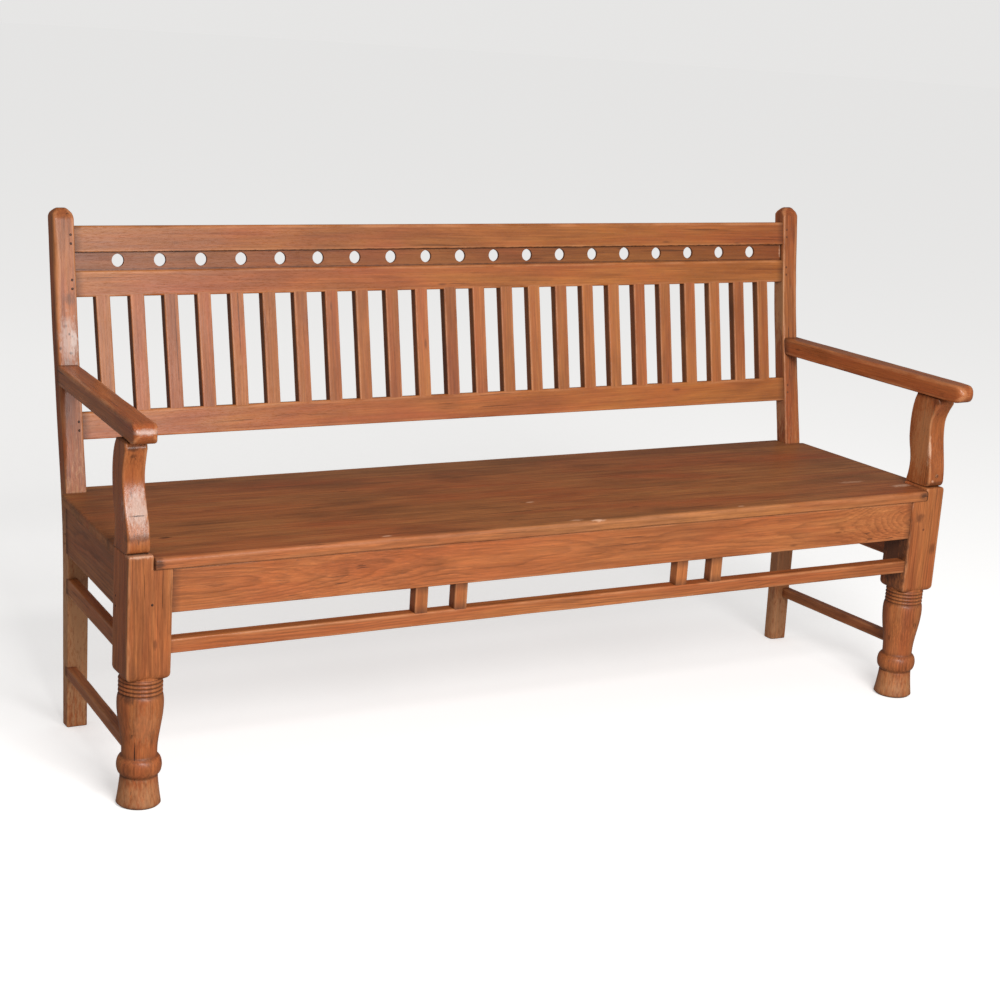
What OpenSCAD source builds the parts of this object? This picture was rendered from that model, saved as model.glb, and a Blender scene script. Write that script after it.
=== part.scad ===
// Slatted-back wooden pew: two turned front legs, two raked rear posts, a wide plank seat,
// a back of upright slats under a pierced strip and a crest rail, and open arms.
// Millimetres. +Z is up, the front faces -Y, and the origin is on the floor at the middle of the box.

/* [Overall] */
// Length over the outer faces of the front legs
bench_length = 1760; // [1500:10:2000]
// Height of the seat's top face
seat_height = 452; // [445:1:475]
// Height of the rear posts
back_height = 960; // [955:1:990]
// From the front faces of the front legs to the front faces of the rear posts, at the seat
seat_run = 437; // [410:1:460]
// Angle in plan by which each side frame spreads towards the front
splay = 3.5; // [2.5:0.5:4]

/* [Seat] */
// Thickness of the seat plank
seat_thickness = 21; // [18:1:26]
// How far the seat stands out in front of the front legs
seat_nosing = 4; // [0:1:10]
// How far the seat hangs over the side aprons
seat_side_overhang = 9; // [5:1:12]
// How far the seat runs behind the front faces of the rear posts
seat_rear_run = 38; // [32:1:40]

/* [Front legs] */
// Width of a front leg's block, along the bench
leg_width = 79; // [76:1:84]
// Depth of a front leg's block, front to back
leg_depth = 74; // [72:1:80]
// Width of the part of the leg that rises past the seat to the arm
upstand_width = 45; // [42:1:50]
// Height of the bottom of the square block
block_bottom = 234; // [228:1:240]
// Rounding of the block's bottom edges
block_round = 12; // [6:1:14]
// Largest radius of the turned vase
vase_radius = 40.5; // [39:0.5:42]
// Radius of the waist under the vase
waist_radius = 31; // [28:0.5:33]
// Radius of the foot at the floor
foot_radius = 39; // [36:0.5:41]

/* [Rear posts] */
// Width of a rear post, along the bench
post_width = 39.5; // [32:0.5:42]
// Depth of a rear post at the seat and above
post_depth = 34; // [32:1:48]
// Depth of a rear post at the floor
post_foot_depth = 26; // [22:1:32]
// How far a rear post's outer face lies inside the outer face of the front leg
post_inset = 37; // [36:1:44]

/* [Back] */
// Number of slats
slat_count = 24; // [18:1:24]
// Width of a slat
slat_width = 27.5; // [24:0.5:32]
// Thickness of a slat
slat_thickness = 20; // [16:1:22]
// How far the middle slats stand to the right of an even spacing
slat_drift = 7; // [0:1:8]
// Angle by which the slats' tops lean to the left
slat_lean = 0.8; // [0:0.2:1.6]
// Thickness of the crest rail and of the two slat rails
rail_thickness = 28; // [26:1:32]
// How far the rails' front faces lie behind the posts' front faces
rail_recess = 4; // [2:1:6]
// Bottom and top of the lower slat rail
lower_rail_z = [546, 596]; // [500:1:640]
// Bottom and top of the upper slat rail
upper_rail_z = [801.5, 848.5]; // [780:0.5:870]
// Bottom and top of the crest rail
crest_z = [881.5, 930]; // [870:0.5:940]
// Thickness of the pierced strip
strip_thickness = 6; // [4:1:12]
// Diameter of the round holes in the pierced strip
hole_diameter = 24; // [14:1:26]
// Number of holes in the pierced strip
hole_count = 19; // [9:2:19]
// How far the holes crowd in from an even spacing, halfway to each end
hole_crowding = 6; // [0:1:10]
// Which hole, counted from the left, was bored oversize
oversize_hole = 15; // [1:1:19]
// Diameter of the oversize hole
oversize_diameter = 26; // [20:1:27]

/* [Arms] */
// Height of the top of the armrests
arm_height = 681; // [665:1:700]
// Thickness of an armrest
arm_thickness = 36; // [32:1:40]
// Width of an armrest
arm_width = 42; // [36:1:44]
// How far the right armrest's nose reaches in front of the front legs
right_nose_reach = 60; // [40:1:70]
// How far the left armrest's nose reaches in front of the front legs
left_nose_reach = 9; // [5:1:40]

/* [Seat frame and stretchers] */
// Bottom of the front apron
apron_bottom = 352; // [340:1:360]
// Bottom of the side aprons
side_apron_bottom = 337; // [325:1:345]
// Thickness of the front apron
apron_thickness = 26; // [22:1:28]
// Bottom and top of the front stretcher
front_stretcher_z = [279, 304.5]; // [270:0.5:310]
// Bottom and top of the lower side stretchers
low_stretcher_z = [99, 120]; // [90:1:130]
// Thickness of the side stretchers
stretcher_thickness = 20; // [18:1:24]
// Height of the upper side stretchers, top to bottom
upper_stretcher_height = 31; // [26:1:34]
// Bottom of the left upper side stretcher
left_upper_stretcher_z = 261; // [255:1:265]
// Bottom of the right upper side stretcher
right_upper_stretcher_z = 285; // [261:1:290]

/* [Hidden] */
two_digits = function(n) str(n < 10 ? "0" : "", n);

LEFT = -1;
RIGHT = 1;
eps = 0.5;
far = 60;

half_length = bench_length / 2;
seat_under = seat_height - seat_thickness;
leg_inner = half_length - leg_width;
upstand_inner = half_length - upstand_width;
upstand_top = seat_height + 5;
post_outer = half_length - post_inset;
post_inner = post_outer - post_width;

// The rear post leans back in three stretches, joined by two easy bends.
leg_slope = 0.0165;
seat_slope = 0.205;
top_slope = 0.147;
low_bend = [300, 470];
high_bend = [700, 800];
post_cap = 16;
cap_ridge = 12;
cap_bevel = [9, 10];
post_steps = 32;
post_heights = [for (i = [0 : post_steps]) i * (back_height - post_cap) / post_steps];

// Turning of the front leg, from the floor up
foot_ease = 4;
foot_top = 52;
foot_top_radius = 33;
torus_mid = 73;
torus_half = 17;
torus_radius = 39.5;
waist_z = 97;
vase_top = 187;
neck_bottom = 205;
neck_radius = 37.5;
reed_depth = 1.8;
reed_count = 4;
turning_x = half_length - leg_width / 2;
turning_y = leg_depth / 2 + 1;

// Joints
post_tenon = 24;
rail_tenon_shoulder = 7;
strip_groove = 6;
strip_tongue = [8, 20];
leg_tenon = 30;
apron_tenon = 56;
tenon_thickness = 12;
tenon_setback = 7;
side_tenon_setback = [6, 4];
side_tenon_reach = 18;
peg_diameter = 5;
peg_proud = 0.5;
peg_length = 34;
post_peg = [8, 8];
leg_peg = [36, 18];
side_peg_inset = 10;
side_peg_place = [26, 44];
side_peg_setback = [4, 14];
plug_diameter = 8;
plug_height = 24;
plug_length = 36;
slat_setback = 1;
slat_tenon = [16, 12, 14];
slat_tenon_root = 4;
strut_size = [27, 24];
strut_tenon = [16, 12, 12];
strut_x = [-324, -243, 243, 324];
support_width = 40;
support_tenon = [16, 26, 40];
support_tenon_y = [14, 34];
support_top_tenon_length = 20;
support_waist = [16, 0];
support_beak = [-24, 0];
arm_tenon = [22, 20];
arm_tenon_shoulder = 8;
support_under = arm_height - arm_thickness;
bearer_x = 290;
bearer_size = [45, 45];
bearer_tenon = [25, 10, 25];
rear_rail_size = [25, 76];
rear_rail_drop = 38;
rear_rail_tenon = [22, 36];
rear_rail_tenon_drop = 22;
side_apron_thickness = 24;
front_face = 2;
stretcher_face = 4;
strip_recess = rail_recess + 6;
strip_end_gap = 3;
hole_rise = 2;
arm_out = 4;
nose_roll = 1.1;

// Integral of a slope change that starts at a and is complete at b
function ramp(z, a, b) = z <= a ? 0 : z < b ? (z - a) * (z - a) / (2 * (b - a)) : z - (a + b) / 2;
function lean(z) =
    leg_slope * z
    + (seat_slope - leg_slope) * ramp(z, low_bend[0], low_bend[1])
    + (top_slope - seat_slope) * ramp(z, high_bend[0], high_bend[1]);
function post_front(z) = seat_run + lean(z) - lean(seat_height);
function post_section(z) =
    post_foot_depth + (post_depth - post_foot_depth) * min(1, z / seat_height);
function tilt(z) = atan(post_front(z + 1) - post_front(z));
function middle(range) = (range[0] + range[1]) / 2;
function tall(range) = range[1] - range[0];

// The box runs from the right armrest's nose to the backs of the posts' shoulders.
rear_reach = post_front(back_height - post_cap) + post_section(back_height);
frame_shift = (rear_reach - right_nose_reach) / 2;
seat_rear = seat_run + seat_rear_run;
slat_recess = rail_recess + slat_setback;
slat_foot = [post_front(middle(lower_rail_z)) + slat_recess, middle(lower_rail_z)];
slat_head = [post_front(middle(upper_rail_z)) + slat_recess, middle(upper_rail_z)];
slat_tilt = atan((slat_head[0] - slat_foot[0]) / (slat_head[1] - slat_foot[1]));
slat_length = (slat_head[1] - slat_foot[1]) / cos(slat_tilt);
strip_z = middle([upper_rail_z[1], crest_z[0]]);
slat_pitch = 2 * post_inner / (slat_count + 0.6);
hole_pitch = 2 * post_inner / (hole_count + 1.1);

// Lengths are measured from the front legs' front faces, and the whole is then centred.
module placed() {
    translate([0, -frame_shift, 0]) children();
}

module on_side(side) {
    if (side == LEFT) mirror([1, 0, 0]) children();
    else children();
}

// Children are drawn with x = 0 on the side frame's outer face and y = 0 at the rear post.
module along_side(side, outset = 0) {
    on_side(side)
        translate([post_outer + outset, seat_run, 0]) rotate([0, 0, splay]) children();
}

// Children are drawn with z = 0 at height z, y = 0 on the posts' front line, tilted with the post.
module on_back(z) {
    translate([0, post_front(z), z]) rotate([-tilt(z), 0, 0]) children();
}

module bar(length, depth, height) {
    translate([-length / 2, 0, -height / 2]) cube([length, depth, height]);
}

// ---------------------------------------------------------------- rear posts

module post_blank() {
    top = back_height - post_cap;
    ridge = post_front(top) + post_section(top) / 2;
    front_line = [for (z = post_heights) [post_front(z), z]];
    rear_line = [for (i = [post_steps : -1 : 0])
        let (z = post_heights[i]) [post_front(z) + post_section(z), z]];
    cap_line = [[ridge - cap_ridge / 2, back_height], [ridge + cap_ridge / 2, back_height]];
    bevel_z = back_height - cap_bevel[1];
    intersection() {
        translate([post_inner, 0, 0]) rotate([90, 0, 90]) linear_extrude(post_width)
            polygon(concat(front_line, cap_line, rear_line));
        translate([post_inner, 2 * seat_run, 0]) rotate([90, 0, 0]) linear_extrude(2 * seat_run)
            polygon([
                [0, 0], [post_width, 0], [post_width, bevel_z],
                [post_width - cap_bevel[0], back_height], [cap_bevel[0], back_height], [0, bevel_z]
            ]);
    }
}

module rear_post(side) {
    color("peru") placed() difference() {
        on_side(side) post_blank();
        back_rail_tenons();
        rear_rail_tenons();
        side_tenons(side);
        arm_rear_tenon(side);
        back_peg_set();
        side_frame_peg_set();
    }
}

// ---------------------------------------------------------------- front legs

function foot_curve() = [for (i = [0 : 8])
    [foot_top_radius + (foot_radius - foot_top_radius) * pow(1 - i / 8, 1.3),
     foot_ease + (foot_top - foot_ease) * i / 8]];
function torus_curve() = [for (i = [0 : 12])
    let (a = 180 * i / 12)
    [waist_radius + (torus_radius - waist_radius) * sin(a), torus_mid - torus_half * cos(a)]];
function vase_curve() = [for (i = [0 : 14])
    [waist_radius + (vase_radius - waist_radius) * (1 - cos(180 * i / 14)) / 2,
     waist_z + (vase_top - waist_z) * i / 14]];
function shoulder_curve() = [for (i = [1 : 6])
    [neck_radius - 0.5 + (vase_radius - neck_radius + 0.5) * cos(90 * i / 6),
     vase_top + (neck_bottom - vase_top) * sin(90 * i / 6)]];
function neck_curve() = [for (i = [1 : 6 * reed_count])
    [neck_radius - 0.5 + reed_depth * abs(sin(30 * i)),
     neck_bottom + (block_bottom - neck_bottom) * i / (6 * reed_count)]];

module turned_leg() {
    translate([turning_x, turning_y, 0]) rotate_extrude($fn = 96) polygon(concat(
        [[0, 0], [foot_radius - foot_ease, 0]],
        foot_curve(), torus_curve(), vase_curve(), shoulder_curve(), neck_curve(),
        [[neck_radius - 2, block_bottom + 8], [0, block_bottom + 8]]
    ));
}

module rounded_foot_square(width, height, radius) {
    translate([0, radius]) square([width, height - radius]);
    translate([radius, 0]) square([width - 2 * radius, height]);
    for (x = [radius, width - radius]) translate([x, radius]) circle(radius, $fn = 48);
}

module leg_block() {
    tall_block = upstand_top - block_bottom;
    difference() {
        intersection() {
            translate([leg_inner, leg_depth, block_bottom]) rotate([90, 0, 0])
                linear_extrude(leg_depth) rounded_foot_square(leg_width, tall_block, block_round);
            translate([leg_inner, 0, block_bottom]) rotate([90, 0, 90])
                linear_extrude(leg_width) rounded_foot_square(leg_depth, tall_block, block_round);
        }
        translate([leg_inner - 1, -1, seat_under])
            cube([leg_width - upstand_width + 1, leg_depth + 2, far]);
    }
}

module leg_top_tenon() {
    translate([half_length - support_width / 2 - support_tenon[0] / 2,
               support_tenon_y[0], upstand_top - eps])
        cube([support_tenon[0], support_tenon[1], support_tenon[2] + eps]);
}

module front_leg(side) {
    color("chocolate") placed() difference() {
        on_side(side) union() {
            turned_leg();
            leg_block();
            leg_top_tenon();
        }
        front_apron_tenons();
        front_stretcher_tenons();
        side_tenons(side);
        seat_frame_peg_set();
        side_frame_peg_set();
        arm_plug();
    }
}

// ---------------------------------------------------------------- back

module back_rail_tenons() {
    for (range = [lower_rail_z, upper_rail_z, crest_z])
        on_back(middle(range)) translate([0, rail_recess + (rail_thickness - tenon_thickness) / 2, 0])
            bar(2 * (post_inner + post_tenon), tenon_thickness, tall(range) - 2 * rail_tenon_shoulder);
    on_back(strip_z) strip_end_tongue();
}

// The strip's left end is let into its post, and its right end stops short.
module strip_end_tongue() {
    translate([-post_inner - strip_tongue[0], strip_recess, -strip_tongue[1] / 2])
        cube([far, strip_thickness, strip_tongue[1]]);
}

module back_bar(range) {
    height = tall(range) / cos(tilt(middle(range)));
    on_back(middle(range)) translate([0, rail_recess, 0])
        bar(2 * post_inner, rail_thickness, height);
}

module back_rail(range) {
    difference() {
        union() {
            back_bar(range);
            intersection() {
                back_rail_tenons();
                on_back(middle(range)) bar(2 * half_length, far, tall(range));
            }
        }
        back_peg_set();
    }
}

module strip_housing() {
    height = crest_z[0] - upper_rail_z[1] + 2 * strip_groove;
    on_back(strip_z) translate([-post_inner, strip_recess, -height / 2])
        cube([2 * post_inner - strip_end_gap, strip_thickness, height]);
}

module crest_rail() {
    color("peru") placed() difference() {
        back_rail(crest_z);
        strip_housing();
    }
}

// The holes are spaced by eye: a little wider apart near the ends than in the middle.
function hole_x(i) =
    let (from_middle = i - (hole_count - 1) / 2)
    from_middle * hole_pitch - hole_crowding * sin(360 * from_middle / (hole_count - 1));

module pierced_strip() {
    color("sienna") placed() difference() {
        union() {
            strip_housing();
            on_back(strip_z) strip_end_tongue();
        }
        for (i = [0 : hole_count - 1])
            on_back(strip_z) translate([hole_x(i), 0, hole_rise]) rotate([-90, 0, 0])
                cylinder(d = i == oversize_hole - 1 ? oversize_diameter : hole_diameter, h = far, $fn = 48);
    }
}

// Children are drawn with z = 0 at the lower slat rail's middle, along a slat at the bench's middle.
module on_slat_line() {
    translate([0, slat_foot[0], slat_foot[1]]) rotate([-slat_tilt, 0, 0])
        translate([0, 0, slat_length / 2]) rotate([0, -slat_lean, 0])
            translate([0, 0, -slat_length / 2]) children();
}

module slat_bar() {
    on_slat_line() translate([-slat_width / 2, 0, 0]) cube([slat_width, slat_thickness, slat_length]);
}

// Stub tenons at both ends of a slat, let into the two slat rails
module slat_tenons() {
    lower_top = lower_rail_z[1] - slat_foot[1];
    upper_bottom = upper_rail_z[0] - slat_foot[1];
    on_slat_line()
        for (z = [lower_top - slat_tenon[2], upper_bottom - slat_tenon_root])
            translate([-slat_tenon[0] / 2, (slat_thickness - slat_tenon[1]) / 2, z])
                cube([slat_tenon[0], slat_tenon[1], slat_tenon[2] + 2.5 * slat_tenon_root]);
}

function slat_x(i) =
    (i - (slat_count + 1) / 2) * slat_pitch + slat_drift * sin(180 * (i - 1) / (slat_count - 1));

module all_slat_tenons() {
    for (i = [1 : slat_count]) translate([slat_x(i), 0, 0]) slat_tenons();
}

module upper_slat_rail() {
    color("peru") placed() difference() {
        back_rail(upper_rail_z);
        strip_housing();
        all_slat_tenons();
    }
}

module lower_slat_rail() {
    color("peru") placed() difference() {
        back_rail(lower_rail_z);
        all_slat_tenons();
    }
}

module slat(i) {
    color("burlywood") placed() translate([slat_x(i), 0, 0]) union() {
        difference() {
            slat_bar();
            back_bar(lower_rail_z);
            back_bar(upper_rail_z);
        }
        slat_tenons();
    }
}

// ---------------------------------------------------------------- seat and its frame

module seat_outline() {
    edge = post_outer + seat_side_overhang;
    spread = tan(splay) * (seat_run - leg_depth);
    front = min(edge + spread, half_length - 2);
    polygon([
        [-upstand_inner, -seat_nosing], [upstand_inner, -seat_nosing],
        [upstand_inner, leg_depth], [front, leg_depth],
        [edge, seat_run], [post_inner, seat_run],
        [post_inner, seat_rear], [-post_inner, seat_rear],
        [-post_inner, seat_run], [-edge, seat_run],
        [-front, leg_depth], [-upstand_inner, leg_depth]
    ]);
}

module seat_board() {
    color("sienna") placed() difference() {
        translate([0, 0, seat_under]) linear_extrude(seat_thickness) seat_outline();
        for (side = [LEFT, RIGHT]) on_side(side) post_blank();
    }
}

module front_apron_tenons() {
    tenon_z = [apron_bottom + 12, seat_under - 10];
    translate([0, front_face + tenon_setback, middle(tenon_z)])
        bar(2 * (leg_inner + apron_tenon), tenon_thickness, tall(tenon_z));
}

module front_apron() {
    color("chocolate") placed() difference() {
        union() {
            translate([0, front_face, middle([apron_bottom, seat_under])])
                bar(2 * leg_inner, apron_thickness, seat_under - apron_bottom);
            front_apron_tenons();
        }
        for (i = [0 : 3]) strut_tenons(i);
        bearer_tenons();
        seat_frame_peg_set();
    }
}

module rear_rail_tenons() {
    translate([0, seat_run + tenon_setback + 1, seat_under - rear_rail_tenon_drop])
        bar(2 * (post_inner + rear_rail_tenon[0]), tenon_thickness, rear_rail_tenon[1]);
}

module rear_seat_rail() {
    color("sienna") placed() difference() {
        union() {
            translate([0, seat_run + 1, seat_under - rear_rail_drop])
                bar(2 * post_inner, rear_rail_size[0], rear_rail_size[1]);
            rear_rail_tenons();
        }
        bearer_tenons();
    }
}

module bearer_tenons() {
    for (x = [-bearer_x, bearer_x])
        translate([x - bearer_tenon[0] / 2, front_face + apron_thickness - bearer_tenon[1],
                   seat_under - bearer_size[1] + 8])
            cube([bearer_tenon[0], seat_run + 1 - front_face - apron_thickness + 2 * bearer_tenon[1],
                  bearer_tenon[2]]);
}

module seat_bearer(side) {
    color("sienna") placed() union() {
        translate([side * bearer_x - bearer_size[0] / 2, front_face + apron_thickness,
                   seat_under - bearer_size[1]])
            cube([bearer_size[0], seat_run + 1 - front_face - apron_thickness, bearer_size[1]]);
        intersection() {
            bearer_tenons();
            translate([side * bearer_x - far / 2, 0, 0]) cube([far, 2 * seat_run, seat_height]);
        }
    }
}

// Everything behind the posts' front faces
module behind_posts() {
    behind = post_front(back_height) + 2 * far;
    translate([-half_length, 0, 0]) rotate([90, 0, 90]) linear_extrude(bench_length)
        polygon(concat([for (z = post_heights) [post_front(z), z]], [
            [behind, post_heights[post_steps]], [behind, 0]
        ]));
}

// A side member without its tenons, cut to the rear post and to the front leg
module side_bar(side, range, thickness) {
    difference() {
        along_side(side) translate([-thickness, -seat_run + turning_y, range[0]])
            cube([thickness, seat_run, tall(range)]);
        behind_posts();
        on_side(side) union() {
            leg_block();
            turned_leg();
        }
        translate([-bench_length, -far, range[0] - 1])
            cube([2 * bench_length, far + turning_y + 8, tall(range) + 2]);
    }
}

function upper_stretcher_range(side) =
    let (low = side == LEFT ? left_upper_stretcher_z : right_upper_stretcher_z)
    [low, low + upper_stretcher_height];
side_apron_range = [side_apron_bottom, seat_under];
apron_tenon_z = [side_apron_bottom + 8, side_apron_bottom + 46];

// Tenons of one side's three members; each runs on into the post and into the leg
module side_tenon(side, range, outer) {
    start = turning_y + 6;
    along_side(side) translate([-outer - tenon_thickness, start - seat_run, range[0]])
        cube([tenon_thickness, seat_run - start + side_tenon_reach, tall(range)]);
}

module side_tenons(side) {
    upper = upper_stretcher_range(side);
    side_tenon(side, apron_tenon_z, side_tenon_setback[0]);
    side_tenon(side, [upper[0] + 6, upper[1] - 6], side_tenon_setback[1]);
    side_tenon(side, [low_stretcher_z[0] + 4, low_stretcher_z[1] - 4], side_tenon_setback[1]);
}

module side_member(side, range, thickness) {
    difference() {
        union() {
            side_bar(side, range, thickness);
            intersection() {
                side_tenons(side);
                translate([-bench_length, 0, range[0]])
                    cube([2 * bench_length, 2 * seat_run, tall(range)]);
            }
        }
        side_frame_peg_set();
    }
}

module side_apron(side) {
    color("saddlebrown") placed() side_member(side, side_apron_range, side_apron_thickness);
}

module upper_side_stretcher(side) {
    color("saddlebrown") placed()
        side_member(side, upper_stretcher_range(side), stretcher_thickness);
}

module lower_side_stretcher(side) {
    color("saddlebrown") placed() side_member(side, low_stretcher_z, stretcher_thickness);
}

module front_stretcher_tenons() {
    translate([0, stretcher_face + tenon_setback, middle(front_stretcher_z)])
        bar(2 * (leg_inner + leg_tenon), tenon_thickness, tall(front_stretcher_z) - 8);
}

module front_stretcher() {
    color("chocolate") placed() difference() {
        union() {
            translate([0, stretcher_face, middle(front_stretcher_z)])
                bar(2 * leg_inner, apron_thickness, tall(front_stretcher_z));
            front_stretcher_tenons();
        }
        for (i = [0 : 3]) strut_tenons(i);
    }
}

module strut_tenons(i) {
    height = apron_bottom - front_stretcher_z[1] + 2 * strut_tenon[2];
    translate([strut_x[i] - strut_tenon[0] / 2, stretcher_face + (strut_size[1] - strut_tenon[1]) / 2,
               front_stretcher_z[1] - strut_tenon[2]])
        cube([strut_tenon[0], strut_tenon[1], height]);
}

module strut(i) {
    color("chocolate") placed() union() {
        translate([strut_x[i] - strut_size[0] / 2, stretcher_face, front_stretcher_z[1]])
            cube([strut_size[0], strut_size[1], apron_bottom - front_stretcher_z[1]]);
        strut_tenons(i);
    }
}

// ---------------------------------------------------------------- arms

// Side outline of an arm support, y towards the back and z up. It stands on the leg, draws in to a
// waist and swells again under the armrest, where its front corner ends in a short beak.
// dy moves the waist back, and beak is how far the top front corner reaches forward.
module support_outline(dy, beak) {
    foot = upstand_top;
    top = support_under;
    round_foot = 12;
    front = concat(
        [for (i = [0 : 4]) let (a = 90 * i / 4)
            [5 + round_foot - round_foot * sin(a), foot + round_foot - round_foot * cos(a)]],
        [for (i = [1 : 10]) let (t = i / 10)
            [5 + (16 + dy) * (1 - cos(180 * t)) / 2, foot + round_foot + (top - foot - 72) * t]],
        [for (i = [1 : 8]) let (t = i / 8)
            [21 + dy - (20 + dy + beak) * (1 - cos(90 * t)), top - 60 + 48 * t]],
        [[1 - beak + 3, top - 6], [1 - beak + 6, top]]
    );
    rear = [for (i = [0 : 12]) let (t = i / 12, bulge = sin(180 * pow(t, 0.8)))
        [74 + 6 * t - 7 * sin(180 * min(1, 2.2 * (1 - t))) + (10 + dy / 3) * bulge * (1 - t) * 1.6,
         top - (top - foot) * t]];
    polygon(concat(front, [for (q = rear) [q[0] - 3, q[1]]]));
}

module support_top_tenon() {
    translate([half_length - support_width / 2 - support_tenon[0] / 2,
               support_tenon_y[1], support_under - eps])
        cube([support_tenon[0], support_tenon[1], support_top_tenon_length]);
}

module arm_support(side) {
    k = side == LEFT ? 0 : 1;
    color("chocolate") placed() difference() {
        on_side(side) union() {
            translate([half_length - support_width, 0, 0]) rotate([90, 0, 90])
                linear_extrude(support_width) support_outline(support_waist[k], support_beak[k]);
            support_top_tenon();
        }
        on_side(side) leg_top_tenon();
        arm_plug();
    }
}

module armrest_blank(side) {
    reach = side == LEFT ? left_nose_reach : right_nose_reach;
    nose = arm_thickness / 2;
    length = (post_front(arm_height) + reach - arm_width * sin(splay)) / cos(splay);
    on_side(side)
        translate([post_outer + arm_out, post_front(arm_height), arm_height - arm_thickness])
            rotate([0, 0, splay]) translate([-arm_width, 0, 0]) {
                translate([0, -length + nose_roll * nose, 0])
                    cube([arm_width, length - nose + far, arm_thickness]);
                translate([0, -length + nose_roll * nose, nose]) rotate([0, 90, 0])
                    scale([1, nose_roll, 1]) cylinder(r = nose, h = arm_width, $fn = 64);
            }
}

module arm_rear_tenon(side) {
    on_side(side)
        translate([post_outer + arm_out - arm_width / 2, post_front(arm_height),
                   arm_height - arm_tenon_shoulder - arm_tenon[1]])
            rotate([0, 0, splay]) translate([-tenon_thickness / 2, -far, 0])
                cube([tenon_thickness, far + arm_tenon[0], arm_tenon[1]]);
}

module behind_arm_line() {
    low = arm_height - far;
    high = arm_height + far;
    behind = post_front(arm_height) + 3 * far;
    translate([-half_length, 0, 0]) rotate([90, 0, 90]) linear_extrude(bench_length)
        polygon([[post_front(low), low], [post_front(high), high], [behind, high], [behind, low]]);
}

module armrest(side) {
    color("peru") placed() difference() {
        union() {
            difference() {
                armrest_blank(side);
                on_side(side) post_blank();
                behind_arm_line();
            }
            intersection() {
                arm_rear_tenon(side);
                translate([-half_length, post_front(arm_height) - 20, 0])
                    cube([bench_length, far, back_height]);
            }
        }
        on_side(side) support_top_tenon();
    }
}

// ---------------------------------------------------------------- pegs

module back_peg_set() {
    for (side = [LEFT, RIGHT], range = [lower_rail_z, upper_rail_z, crest_z], k = [-1, 1])
        on_back(middle(range))
            translate([side * (post_inner + post_peg[0]), -peg_proud, k * post_peg[1]])
                rotate([-90, 0, 0]) cylinder(d = peg_diameter, h = peg_length - 2, $fn = 24);
}

module seat_frame_peg_set() {
    for (side = [LEFT, RIGHT])
        translate([side * (leg_inner + leg_peg[0]), -peg_proud, apron_bottom + leg_peg[1]])
            rotate([-90, 0, 0]) cylinder(d = peg_diameter, h = peg_length, $fn = 24);
}

module side_frame_peg_set() {
    z_pegs = [apron_tenon_z[0] + side_peg_inset, apron_tenon_z[1] - side_peg_inset];
    for (side = [LEFT, RIGHT], z = z_pegs) on_side(side) {
        translate([post_outer - side_peg_place[0], seat_run + side_peg_setback[0], z])
            rotate([0, 90, 0]) cylinder(d = peg_diameter, h = side_peg_place[0], $fn = 24);
        translate([half_length - side_peg_place[1], leg_depth - side_peg_setback[1], z])
            rotate([0, 90, 0]) cylinder(d = peg_diameter, h = side_peg_place[1], $fn = 24);
    }
}

// One plug pins the right arm support to the tenon of its leg.
module arm_plug() {
    translate([half_length - support_width / 2, 4, upstand_top + plug_height])
        rotate([-90, 0, 0]) cylinder(d = plug_diameter, h = plug_length, $fn = 24);
}

module back_pegs() {
    color("maroon") placed() back_peg_set();
}

module seat_frame_pegs() {
    color("maroon") placed() seat_frame_peg_set();
}

module side_frame_pegs() {
    color("maroon") placed() side_frame_peg_set();
}

module arm_peg() {
    color("maroon") placed() arm_plug();
}

// ---------------------------------------------------------------- nodes

rear_post(LEFT);  // rear_post_left
rear_post(RIGHT);  // rear_post_right
front_leg(LEFT);  // front_leg_left
front_leg(RIGHT);  // front_leg_right
arm_support(LEFT);  // arm_support_left
arm_support(RIGHT);  // arm_support_right
armrest(LEFT);  // armrest_left
armrest(RIGHT);  // armrest_right
crest_rail();
pierced_strip();
upper_slat_rail();
lower_slat_rail();
for (i = [1 : slat_count])
    slat(i);
seat_board();
front_apron();
rear_seat_rail();
side_apron(LEFT);  // side_apron_left
side_apron(RIGHT);  // side_apron_right
seat_bearer(LEFT);  // seat_bearer_left
seat_bearer(RIGHT);  // seat_bearer_right
front_stretcher();
for (i = [0 : 3])
    strut(i);
upper_side_stretcher(LEFT);  // upper_side_stretcher_left
upper_side_stretcher(RIGHT);  // upper_side_stretcher_right
lower_side_stretcher(LEFT);  // lower_side_stretcher_left
lower_side_stretcher(RIGHT);  // lower_side_stretcher_right
back_pegs();
seat_frame_pegs();
side_frame_pegs();
arm_peg();
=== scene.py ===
"""A slatted-back church pew in waxed, long-used hardwood.

Every wooden member is skinned again from cuts through its CAD node, with softened and worn arrises,
and carries its own grain coordinates, so that rings and fibres run along it as in sawn timber.
"""
import math
import random

import bmesh
import bpy
import numpy as np
from mathutils import Euler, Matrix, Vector, noise


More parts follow.
